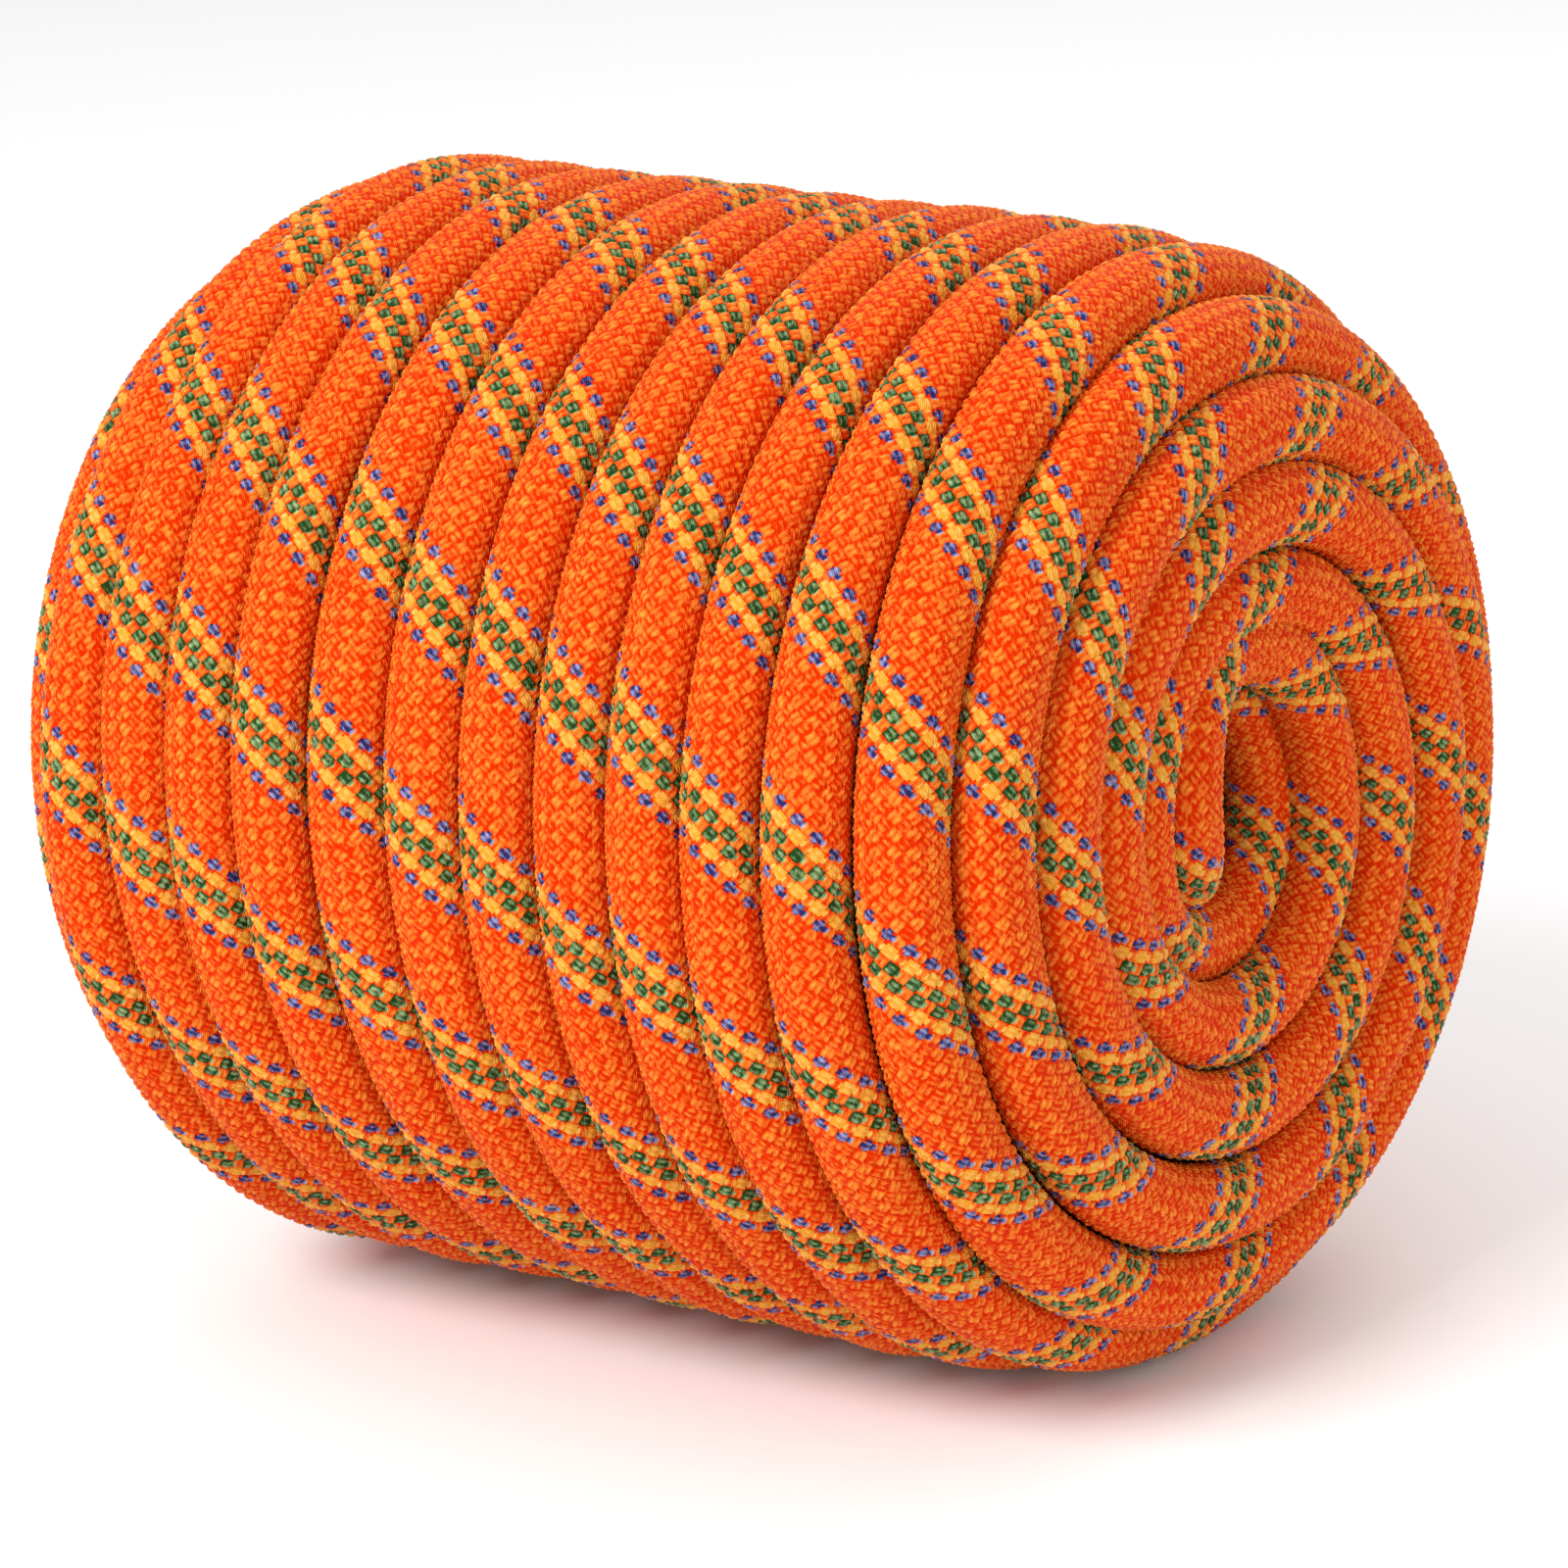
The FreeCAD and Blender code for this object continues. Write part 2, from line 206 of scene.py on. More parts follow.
def rope_points():
    """All control points of the rope in order, and the turn at each, or None on the free ends."""
    layers = layer_stations(LAYERS_START)
    inner = start_stations(0.0, INNER_JOINS, INNER_LAST_RING)
    inner.append((LAYERS_START - STEP_TURNS / 2, *INNER_TURNS_IN))
    outer_joins = [(first + second) / 2 for first, second in zip(*RINGS[:2])]
    outer = start_stations(OUTER_START, outer_joins, OUTER_LAST_RING)
    outer += [(outer[-1][0] + turn, x, radius) for turn, x, radius in LEFT_RIM]
    points = inner_end_points()
    turns = [None] * len(points)
    at = 0.0
    stretches = [
        (inner + layers[:1], VISIBLE_STEPS),
        (layers + outer[:1], HIDDEN_STEPS),
        (outer, VISIBLE_STEPS),
    ]
    for stations, steps in stretches:
        stations = [(at, *stations[0][1:])] + [s for s in stations if s[0] > at]
        stretch = wound(stations, steps)
        points += stretch
        turns += [at + i / steps for i in range(len(stretch))]
        at += len(stretch) / steps
    end = outer_end_points()
    return points + end, turns + [None] * len(end)


def route_curve(points):
    """A smooth NURBS route with those control points."""
    curve = bpy.data.curves.new("rope_route", "CURVE")
    curve.dimensions = "3D"
    curve.resolution_u = ROUTE_RESOLUTION
    spline = curve.splines.new("NURBS")
    spline.points.add(len(points) - 1)
    for knot, place in zip(spline.points, points):
        knot.co = (*place, 1.0)
    spline.order_u = 3
    spline.use_endpoint_u = True
    return bpy.data.objects.new("rope_route", curve)


def read_line(points):
    """The points of the smooth route with those control points."""
    route = route_curve(points)
    mesh = bpy.data.meshes.new_from_object(route)
    line = np.array([v.co for v in mesh.vertices], float)
    bpy.data.meshes.remove(mesh)
    bpy.data.curves.remove(route.data)
    return line


def unit(rows):
    """Each row made one long."""
    return rows / np.linalg.norm(rows, axis=-1, keepdims=True)


class Line:
    """The rope's centreline with a frame that follows it without twisting."""

    def __init__(self, places):
        self.places = places
        steps = np.linalg.norm(np.diff(places, axis=0), axis=1)
        self.along = np.concatenate([[0], np.cumsum(steps)])
        self.length = self.along[-1]
        self.forward = unit(np.gradient(places, self.along, axis=0))
        side = np.cross(self.forward[0], (0, 0, 1.0))
        sides = []
        for forward in self.forward:
            side = side - forward * side.dot(forward)
            side = side / math.sqrt(side.dot(side))
            sides.append(side)
        self.side = np.array(sides)

    def at(self, along):
        """Centre, forward, side and third axis at places along the rope, or straight on past its ends."""
        past = along - np.clip(along, 0, self.length)
        centre, forward, side = (
            np.stack([np.interp(along, self.along, rows[:, k]) for k in range(3)], axis=-1)
            for rows in (self.places, self.forward, self.side)
        )
        forward = unit(forward)
        side = unit(side - forward * (side * forward).sum(-1, keepdims=True))
        return centre + past[:, None] * forward, forward, side, np.cross(forward, side)


# ---------------------------------------------------------------- meshes
def mesh_object(name, places, quads, materials, numbers=None):
    """A smooth mesh piece from arrays of places, quads and each quad's material number."""
    mesh = bpy.data.meshes.new(name)
    mesh.vertices.add(len(places))
    mesh.vertices.foreach_set("co", places.astype(np.float32).ravel())
    mesh.loops.add(quads.size)
    mesh.loops.foreach_set("vertex_index", quads.astype(np.int32).ravel())
    mesh.polygons.add(len(quads))
    mesh.polygons.foreach_set("loop_start", np.arange(0, quads.size, 4, dtype=np.int32))
    for material in materials:
        mesh.materials.append(material)
    if numbers is not None:
        mesh.polygons.foreach_set("material_index", numbers.astype(np.int32))
    mesh.polygons.foreach_set("use_smooth", np.ones(len(quads), bool))
    mesh.update(calc_edges=True)
    piece = bpy.data.objects.new(name, mesh)
    bpy.context.scene.collection.objects.link(piece)
    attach(piece, "root")
    return piece


def grid_quads(rows, columns, closed=False):
    """Quads of a tube: rows of rings, columns round each ring. If closed, its last row joins its first."""
    row, column = np.meshgrid(np.arange(rows - (not closed)), np.arange(columns), indexing="ij")
    beside, after = (column + 1) % columns, (row + 1) % rows
    places = [(row, column), (row, beside), (after, beside), (after, column)]
    return np.stack([r * columns + c for r, c in places], axis=-1).reshape(-1, 4)


def tube_places(line, along, radii, sides, across=0.0, above=0.0):
    """Rings of a tube that follows the rope's line, moved sideways in the rope by across and above."""
    centre, _, side, third = line.at(along)
    centre = centre + across * side + above * third
    angle = np.linspace(0, math.tau, sides, endpoint=False)
    ring = np.cos(angle)[None, :, None] * side[:, None] + np.sin(angle)[None, :, None] * third[:, None]
    radii = np.asarray(radii, float)
    radii = radii[:, None] if radii.ndim == 1 else radii
    return (centre[:, None] + radii[..., None] * ring).reshape(-1, 3)


def weld(piece):
    """Joins points that lie on each other, which closes a tube whose last ring has no width."""
    shape = bmesh.new()
    shape.from_mesh(piece.data)
    bmesh.ops.remove_doubles(shape, verts=shape.verts, dist=1e-6)
    shape.to_mesh(piece.data)
    shape.free()


# ---------------------------------------------------------------- how the turns are pressed together
# The winding's outline is a rounded barrel: its half length, and the power that rounds its rims.
HALF_BARREL = 0.0640
BARREL_POWER = 5
# A turn fills the room that its neighbours leave, up to WIDEST times its own width, and PRESS more so that
# they press on each other. It gets thinner by the power THINNING of its width.
WIDEST = 1.14
PRESS = 0.02
THINNING = 0.4


def ring_widths():
    """How wide the rope lies at each ring: half way to its neighbour on either side."""
    gaps = [math.dist(here, there) for here, there in zip(RINGS, RINGS[1:])]
    return [gaps[0]] + [(before + after) / 2 for before, after in zip(gaps, gaps[1:])] + [gaps[-1]]


def widening(along):
    """How many times its own diameter the rope is wide, at places along it."""
    known = [(0.0, 1.0), (along_at(0.0), 1.0)]
    for shift in (0.0, OUTER_START):
        for i, width in enumerate(ring_widths()):
            share = min(max(width / (2 * ROPE_RADIUS), 1.0), WIDEST) + PRESS
            if FIRST_RING + i > 0:
                known.append((along_at(shift + (FIRST_RING + i) / 2), share))
    known += [(OUTER_END_AT, 1.0), (LINE.length, 1.0)]
    return np.interp(along, *zip(*sorted(known)))


def winding_place(centre):
    """Where a point of the rope is: along the coil, off its axis, and the winding's own outward normal."""
    y, z = centre[:, 1], centre[:, 2] - AXIS_HEIGHT
    radius = np.hypot(y, z)
    along = centre[:, 0] - COIL_MIDDLE - lean(y, z)
    end_on = np.sign(along) * np.abs(along / HALF_BARREL) ** BARREL_POWER
    side_on = (radius / TURN_RADIUS) ** BARREL_POWER
    normal = unit(np.stack([end_on, side_on * y / radius, side_on * z / radius], axis=-1))
    return along, radius, normal


def pressed(line, along, outwards):
    """The rope's outward direction with its section made wider along the winding and flatter across it."""
    centre, forward, _, _ = line.at(along)
    normal = winding_place(centre)[2]
    across = unit(np.cross(normal, forward))
    wide = widening(along)[:, None]
    outwards = outwards + (wide - 1) * across * (outwards * across).sum(-1, keepdims=True)
    return outwards + (wide ** -THINNING - 1) * normal * (outwards * normal).sum(-1, keepdims=True)


# ---------------------------------------------------------------- the braid
# Carriers each way round the rope, the length of rope in which one goes round it, and quads along a cell.
CARRIERS = 14
LEAD = 0.02689
CELL_STEPS = 4
ROUND_STEPS = 2 * CARRIERS * CELL_STEPS
STEP = LEAD / ROUND_STEPS
# The weave's base, the height of a ply over it, and the share of that height that loose fibres reach.
SHEATH_RADIUS = 0.00460
RELIEF = 0.00038
FUZZ = 0.6
# How far the groove between a yarn's two plies is filled, and how steeply a yarn dives at a cell's ends.
GROOVE_FILL = 0.45
DIVE_POWER = 0.6
# The least share of its height that a cell has, and how much more chance can add.
HEIGHT_LEAST = 0.9
HEIGHT_SPREAD = 0.2
# How much of a cell's tone comes from chance, and how much is a painted sheen that makes each S carrier's
# cells paler.
CHANCE_TONE = 0.3
S_PAINTED_SHEEN = 0.7
# Under the clear sleeve of each end the weave is squeezed flatter.
SLEEVE_LENGTH = 0.017
SQUEEZE = 0.7
# Each carrier that isn't orange, and its material's number.
GREEN_NUMBER, YELLOW_NUMBER, BLUE_NUMBER = 1, 2, 3
BAND = {
    0: BLUE_NUMBER, 1: YELLOW_NUMBER, 2: GREEN_NUMBER,
    3: GREEN_NUMBER, 4: YELLOW_NUMBER, 5: BLUE_NUMBER,
}
# Fixed random numbers, drawn once.
CHANCE = np.random.default_rng(7).random(4099)
# Where the rope can be seen: from this far off the axis, from this far along it on either side, and in the
# hole from this far along it. At the hole's mouth, sides that face along the axis can be seen as well.
OUTSIDE_FROM = 0.061
RIGHT_FROM = 0.0535
LEFT_FROM = -0.0455
HOLE_RADIUS = 0.024
HOLE_FROM = 0.022
MOUTH_FROM = 0.040
# A side of the rope can be seen until it faces away by more than these cosines.
FACING_OUT = -0.5
FACING_END = -0.3


def chance(first, second):
    """A fixed random share for each pair of whole numbers."""
    return CHANCE[np.mod(37 * first.astype(int) + 101 * second.astype(int), len(CHANCE))]


def relief(across, along):
    """Height over a cell, by where a point lies across and along the yarn: two plies side by side that come
    up from under one crossing yarn and dive under the next."""
    plies = np.abs(np.sin(2 * np.pi * across)) + GROOVE_FILL * np.sin(np.pi * across) ** 4
    return RELIEF * plies * np.sin(np.pi * along).clip(0) ** DIVE_POWER


def surface(line, around, along, height):
    """Places on the sheath, the rope's centre there and the direction outwards."""
    centre, _, side, third = line.at(along)
    angle = math.tau * around
    outwards = np.cos(angle)[:, None] * side + np.sin(angle)[:, None] * third
    places = centre + (SHEATH_RADIUS + height)[:, None] * pressed(line, along, outwards)
    return places, centre, outwards


def from_axis(centre):
    """The direction away from the coil's axis, in Y and Z."""
    return unit(np.stack([centre[:, 1], centre[:, 2] - AXIS_HEIGHT], axis=-1))


def visible(centre, outwards):
    """Which parts of the sheath face out of the coil, or into its hole."""
    along, radius, normal = winding_place(centre)
    facing = (outwards * normal).sum(-1)
    outer = (radius > OUTSIDE_FROM) | (along > RIGHT_FROM) | (along < LEFT_FROM)
    beside_hole = (radius < HOLE_RADIUS) & (np.abs(along) > HOLE_FROM)
    into_hole = -(outwards[:, 1:] * from_axis(centre)).sum(-1) > FACING_OUT
    end_on = outwards[:, 0] * np.sign(along) > FACING_END
    mouth = end_on & (np.abs(along) > MOUTH_FROM)
    return (outer & (facing > FACING_OUT)) | (beside_hole & (into_hole | mouth))


def lattice(line, first, last, whole):
    """The low corner of each quad, as steps along the rope and steps round it.

    If the sheath isn't whole, quads on its hidden side are left out.
    """
    n, m = np.meshgrid(np.arange(first, last), np.arange(ROUND_STEPS), indexing="ij")
    even = (n + m) % 2 == 0
    n, m = n[even], m[even]
    if whole:
        return n, m
    _, centre, outwards = surface(line, m / ROUND_STEPS, (n + 1.0) * STEP, np.zeros(len(m)))
    shown = visible(centre, outwards)
    return n[shown], m[shown]


def shared_points(n, m, first):
    """The points that the quads share, as steps round and along the rope, and the quads' point numbers.

    A quad is a diamond, from its low corner round by the right, the top and the left.
    """
    corners = [(m, n), (m + 1, n + 1), (m, n + 2), (m - 1, n + 1)]
    keys = np.stack([np.mod(a, ROUND_STEPS) + ROUND_STEPS * (b - first) for a, b in corners], axis=1)
    used, quads = np.unique(keys, return_inverse=True)
    return used % ROUND_STEPS, used // ROUND_STEPS + first, quads.reshape(-1, 4)


def yarn_heights(line, around, rows):
    """How high each point of the lattice stands over the sheath's base."""
    point_u, point_v = (around - rows) / 2 / CELL_STEPS, (around + rows) / 2 / CELL_STEPS
    at_u, at_v = np.floor(point_u), np.floor(point_v)
    in_u, in_v = point_u - at_u, point_v - at_v
    height = np.where(np.mod(at_u + at_v, 2) == 0, relief(in_u, in_v), relief(in_v, in_u))
    height *= HEIGHT_LEAST + HEIGHT_SPREAD * chance(at_u, at_v)
    height = np.maximum(height, FUZZ * RELIEF * chance(around, rows))
    from_end = np.minimum(rows * STEP, line.length - rows * STEP)
    return np.where(from_end < SLEEVE_LENGTH, height * SQUEEZE, height)


def yarn_colours(u, v, s_on_top):
    """The material number of each quad.

    A coloured yarn shows where it is on top, and a little past its cell's ends: yellow past both, the
    others past one. A blue cell's corners are hidden, which rounds it off.
    """
    kind = np.array([BAND.get(i, 0) for i in range(CARRIERS)])[np.mod(v // CELL_STEPS, CARRIERS)]
    side_u, side_v = (np.isin(np.mod(fine, CELL_STEPS), (0, CELL_STEPS - 1)) for fine in (u, v))
    rounded_off = side_u & side_v & (kind == BLUE_NUMBER)
    reaching = np.mod(u, CELL_STEPS) < np.where(kind == YELLOW_NUMBER, CELL_STEPS, 1)
    showing_through = s_on_top & (kind > 0) & side_u & ~side_v & reaching
    return np.where((s_on_top | rounded_off) & ~showing_through, 0, kind)


def mark_yarns(piece, u, v, s_on_top, height):
    """Gives the materials each corner's place across and along its yarn with the yarn's random tone and
    painted sheen, and each point's height."""
    cell_u, cell_v = u // CELL_STEPS, v // CELL_STEPS
    in_u = (u[:, None] + np.array([1, 1, 0, 0]) - cell_u[:, None] * CELL_STEPS) / CELL_STEPS
    in_v = (v[:, None] + np.array([0, 1, 1, 0]) - cell_v[:, None] * CELL_STEPS) / CELL_STEPS
    across = np.where(s_on_top[:, None], in_u, in_v)
    along = np.where(s_on_top[:, None], in_v, in_u)
    # Chance gives each cell a random tone; on top of it, S carriers' cells are painted paler as a painted
    # sheen.
    tone_and_sheen = CHANCE_TONE * chance(cell_u, cell_v) + S_PAINTED_SHEEN * s_on_top
    tone_and_sheen = np.broadcast_to(tone_and_sheen[:, None], across.shape)
    yarn = piece.data.attributes.new("yarn", "FLOAT_VECTOR", "CORNER")
    yarn.data.foreach_set("vector", np.stack([across, along, tone_and_sheen], axis=-1).astype(np.float32).ravel())
    crest = piece.data.attributes.new("crest", "FLOAT", "POINT")
    crest.data.foreach_set("value", (height / RELIEF).astype(np.float32))


def braid(name, line, start, end, whole, materials):
    """The braided sheath over one stretch of the rope. If it isn't whole, hidden faces are left out.

    The lattice has an S carrier at each whole u and a Z carrier at each whole v, and cells alternate
    between the two like a chessboard.
    """
    first, last = round(start / STEP), round(end / STEP)
    n, m = lattice(line, first, last, whole)
    u, v = (m - n) // 2 - 1, (m + n) // 2
    s_on_top = (u // CELL_STEPS + v // CELL_STEPS) % 2 == 0
    around, rows, quads = shared_points(n, m, first)
    height = yarn_heights(line, around, rows)
    places = surface(line, around / ROUND_STEPS, rows * STEP, height)[0]
    places[:, 2] = np.maximum(places[:, 2], 0.0)
    piece = mesh_object(name, places, quads, materials, yarn_colours(u, v, s_on_top))
    mark_yarns(piece, u, v, s_on_top, height)
    return piece


# ---------------------------------------------------------------- materials
# Each yarn's own colour as the two ends of a blend: darker down in the weave as painted shade, and paler on
# its crests as a painted highlight.
ORANGE = ((0.66, 0.022, 0.0003), (1.00, 0.370, 0.046))
GREEN = ((0.012, 0.050, 0.010), (0.480, 0.640, 0.300))
YELLOW = ((0.76, 0.300, 0.024), (0.92, 0.560, 0.160))
BLUE = ((0.022, 0.020, 0.100), (0.500, 0.490, 0.820))
CORE_WHITE = ((0.60, 0.57, 0.50), (0.86, 0.85, 0.80))
# Filaments across a yarn, and how many of them it slants by along one cell.
FILAMENTS = 6.0
FILAMENT_SLANT = 2.2
# Noises of the yarns, in waves for each metre: a fine grain, and patches of stronger dye.
GRAIN_SCALE = 1400.0
DYE_SCALE = 60.0
# A speckled surface varies this much in roughness, and is this deep.
SPECKLE_ROUGHNESS = 0.2
SPECKLE_DEPTH = 0.0001


def blank_material(name):
    """A new material, its node tree and its shader."""
    material = bpy.data.materials.new(name)
    material.use_nodes = True
    return material, material.node_tree, material.node_tree.nodes["Principled BSDF"]


def add_node(tree, kind, inputs=(), **settings):
    """A node with its settings and with its inputs given as numbers, colours or other sockets."""
    node = tree.nodes.new(kind)
    for name, value in settings.items():
        setattr(node, name, value)
    for key, value in dict(inputs).items():
        if isinstance(value, bpy.types.NodeSocket):
            tree.links.new(value, node.inputs[key])
        else:
            node.inputs[key].default_value = value
    return node


def calc(tree, operation, *values):
    """The result of a Math node."""
    node = add_node(tree, "ShaderNodeMath", dict(enumerate(values)), operation=operation)
    return node.outputs[0]


def noise(tree, place, scale, detail=3.0):
    """A noise's value from 0 to 1 at a place."""
    inputs = {"Vector": place, "Scale": scale, "Detail": detail}
    return add_node(tree, "ShaderNodeTexNoise", inputs).outputs["Fac"]


def blend_colours(tree, share, first, second):
    """The colour that far from the first colour to the second."""
    inputs = {0: share, 6: (*first, 1.0), 7: (*second, 1.0)}
    return add_node(tree, "ShaderNodeMix", inputs, data_type="RGBA").outputs[2]


def weighted(tree, parts, total):
    """The sum of some sockets, each times its weight, and of the total that it starts from."""
    for socket, weight in parts:
        total = calc(tree, "MULTIPLY_ADD", socket, weight, total)
    return total


def yarn_material(name, colours):
    """Nylon yarn: fine twisted filaments, darker down in the weave as painted shade, and paler on its
    crests as a painted highlight.
    """
    material, tree, shader = blank_material(name)
    yarn = add_node(tree, "ShaderNodeAttribute", attribute_name="yarn").outputs["Vector"]
    # Each point's height, which blends in the painted highlight on the crests and the painted shade between
    # them.
    crest = add_node(tree, "ShaderNodeAttribute", attribute_name="crest").outputs["Fac"]
    place = add_node(tree, "ShaderNodeTexCoord").outputs["Object"]
    axes = add_node(tree, "ShaderNodeSeparateXYZ", {0: yarn})
    across, along, tone_and_sheen = axes.outputs
    grain = noise(tree, place, GRAIN_SCALE)
    dye = noise(tree, place, DYE_SCALE, 2.0)

    # Filaments run along the yarn and slant across each ply.
    turns = weighted(tree, [(across, FILAMENTS), (along, FILAMENT_SLANT), (grain, 0.9)], 0.0)
    filament = calc(tree, "SINE", calc(tree, "MULTIPLY", turns, math.tau))
    height = calc(tree, "MULTIPLY_ADD", filament, 0.5, grain)
    bump = add_node(tree, "ShaderNodeBump", {"Strength": 0.55, "Distance": 0.00012, "Height": height})
    tree.links.new(bump.outputs["Normal"], shader.inputs["Normal"])

    # From the painted shade down in the weave to the painted highlight on its crests, by each point's
    # height, with the filaments, grain, dye patches and each cell's tone and painted sheen.
    parts = [(filament, 0.08), (crest, 0.72), (grain, 1.3), (tone_and_sheen, 0.30), (dye, 0.06)]
    share = weighted(tree, parts, -1.06)
    clamped = add_node(tree, "ShaderNodeClamp", {0: share}).outputs[0]
    tree.links.new(blend_colours(tree, clamped, *colours), shader.inputs["Base Color"])
    tree.links.new(calc(tree, "MULTIPLY_ADD", grain, 0.3, 0.30), shader.inputs["Roughness"])
    shader.inputs["Specular IOR Level"].default_value = 0.08
    shader.inputs["Specular Tint"].default_value = (*colours[1], 1.0)
    shader.inputs["Sheen Weight"].default_value = 0.03
    shader.inputs["Sheen Roughness"].default_value = 0.35
    shader.inputs["Sheen Tint"].default_value = (*colours[1], 1.0)
    return material


def speckled_material(name, colours, scale, roughness, bump=0.3):
    """A surface whose colour, roughness and height all vary with one noise in the object's own space."""
    material, tree, shader = blank_material(name)
    place = add_node(tree, "ShaderNodeTexCoord").outputs["Object"]
    grain = noise(tree, place, scale, 4.0)
    middle = {"Value": grain, "From Min": 0.3, "From Max": 0.7}
    contrast = add_node(tree, "ShaderNodeMapRange", middle).outputs[0]
    rough = calc(tree, "MULTIPLY_ADD", grain, SPECKLE_ROUGHNESS, roughness)
    tree.links.new(blend_colours(tree, contrast, *colours), shader.inputs["Base Color"])
    tree.links.new(rough, shader.inputs["Roughness"])
    lift = add_node(tree, "ShaderNodeBump", {"Strength": bump, "Distance": SPECKLE_DEPTH, "Height": grain})
    tree.links.new(lift.outputs["Normal"], shader.inputs["Normal"])
    return material


def clear_film():
    """Clear heat-shrink plastic, faintly amber, glossy and a little wrinkled."""
    amber = ((0.80, 0.74, 0.62), (0.93, 0.90, 0.84))
    material = speckled_material("clear_shrink_plastic", amber, 240.0, 0.08)
    material.node_tree.nodes["Principled BSDF"].inputs["Alpha"].default_value = 0.32
    return material


def plain_material(name, colour, roughness):
    """A single colour, for the studio's floor."""
    material, _, shader = blank_material(name)
    shader.inputs["Base Color"].default_value = (*colour, 1)
    shader.inputs["Roughness"].default_value = roughness
    return material


# ---------------------------------------------------------------- camera, floor and light
# The camera stands off the coil's centre and looks at it; the shift is in widths of the picture.
CAMERA_OFFSET = Vector((0.3267, -0.5982, 0.2061))
CAMERA_LENS = 128.9
CAMERA_SHIFT = (-0.0156, -0.0169)
COIL_CENTRE = Vector((COIL_MIDDLE, 0, AXIS_HEIGHT))
FLOOR_HALF = 4
SKY_STRENGTH = 0.78
# Each light's place, width and power.
LIGHTS = {
    "key": ((-0.25, -0.85, 0.75), 0.5, 10.3),
    "fill": ((0.95, -0.35, 0.35), 0.8, 1.8),
    "back": ((0.1, 0.8, 0.9), 0.9, 3.0),
}


def camera():
    """A long lens a little above the coil and to the right of its long side."""
    data = bpy.data.cameras.new("camera")
    data.lens = CAMERA_LENS
    data.sensor_width = 36.0
    data.shift_x, data.shift_y = CAMERA_SHIFT
    eye = bpy.data.objects.new("camera", data)
    eye.location = COIL_CENTRE + CAMERA_OFFSET
    eye.rotation_euler = (-CAMERA_OFFSET).to_track_quat("-Z", "Y").to_euler()
    bpy.context.scene.collection.objects.link(eye)
    bpy.context.scene.camera = eye


def area_light(name, place, size, power):
    """A soft round white light that faces the coil."""
    data = bpy.data.lights.new(name, "AREA")
    data.shape = "DISK"
    data.size = size
    data.energy = power
    lamp = bpy.data.objects.new(name, data)
    lamp.location = place
    lamp.rotation_euler = (COIL_CENTRE - Vector(place)).to_track_quat("-Z", "Y").to_euler()
    bpy.context.scene.collection.objects.link(lamp)


def studio():
    """A plain pale floor, a white sky and three soft lights."""
    floor = bpy.data.meshes.new("floor")
    corners = [(-1, -1), (1, -1), (1, 1), (-1, 1)]
    floor.from_pydata([(FLOOR_HALF * x, FLOOR_HALF * y, 0) for x, y in corners], [], [(0, 1, 2, 3)])
    floor.materials.append(plain_material("floor_paper", (0.93, 0.93, 0.93), 0.9))
    ground = bpy.data.objects.new("floor", floor)
    bpy.context.scene.collection.objects.link(ground)
    world = bpy.data.worlds.new("studio")
    world.use_nodes = True
    sky = world.node_tree.nodes["Background"]
    sky.inputs["Color"].default_value = (1, 1, 1, 1)
    sky.inputs["Strength"].default_value = SKY_STRENGTH
    bpy.context.scene.world = world
    for name, (place, size, power) in LIGHTS.items():
        area_light(name, place, size, power)
    bpy.context.scene.view_settings.view_transform = "Standard"


# ---------------------------------------------------------------- the rope
camera()
ROUTE, ROUTE_TURNS = rope_points()
LINE = Line(read_line(ROUTE))


def along_at(turn):
    """How far along the rope a turn is. A quadratic route is nearest to point i after i - 0.5 spans."""
    known = [(t, i) for i, t in enumerate(ROUTE_TURNS) if t is not None]
    index = np.interp(turn, [t for t, _ in known], [i for _, i in known])
    share = (index - 0.5) / (len(ROUTE) - 2)
    return float(np.interp(share, np.linspace(0, 1, len(LINE.along)), LINE.along))


# The tube under the braid: its rings, its sides and how far it stays off the floor.
ROPE_ROWS = 5200
ROPE_SIDES = 16
ROPE_FLOOR_GAP = 0.0002
# The outer start's last ring is this many turns after it starts; then it leaves the rim for the -X face.
OUTER_TURNS = OUTER_LAST_RING / 2
LAST_TURN = OUTER_START + OUTER_TURNS + LEFT_RIM[-1][0]
OUTER_END_AT = along_at(LAST_TURN)
YARNS = [
    yarn_material("orange_yarn", ORANGE),
    yarn_material("green_yarn", GREEN),
    yarn_material("yellow_yarn", YELLOW),
    yarn_material("blue_yarn", BLUE),
]
# The orange yarn under the braid, darkened to deep red as painted shade where it shows in the gaps and past
# the braid's pieces.
ORANGE_IN_PAINTED_SHADE = ((0.30, 0.012, 0.001), (0.62, 0.050, 0.004))
UNDER_SHEATH = speckled_material("under_sheath_yarn", ORANGE_IN_PAINTED_SHADE, 900.0, 0.6)
# Where each start's braid is cut into pieces, in turns after the start: first its face, then its outside.
START_CUTS = (0.0, 2.3, 3.8, 5.3, 6.8)
# The outer end's braid starts this many turns before the last turn's end.
OUTER_END_TURNS = 0.3


def make_rope():
    """The rope itself: one tube along its whole length, just inside the braid, its orange darkened to red
    as painted shade.
    """
    along = np.linspace(0, LINE.length, ROPE_ROWS)
    places = tube_places(LINE, along, np.full(len(along), CORE_RADIUS), ROPE_SIDES)
    places[:, 2] = np.maximum(places[:, 2], ROPE_FLOOR_GAP)
    rope = mesh_object("rope", places, grid_quads(len(along), ROPE_SIDES), [UNDER_SHEATH])
    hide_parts("wound_coil", "face_spiral", "inner_end_sheath", "outer_end_sheath")
    return rope, [list(place) for place in LINE.at(along)[0]]


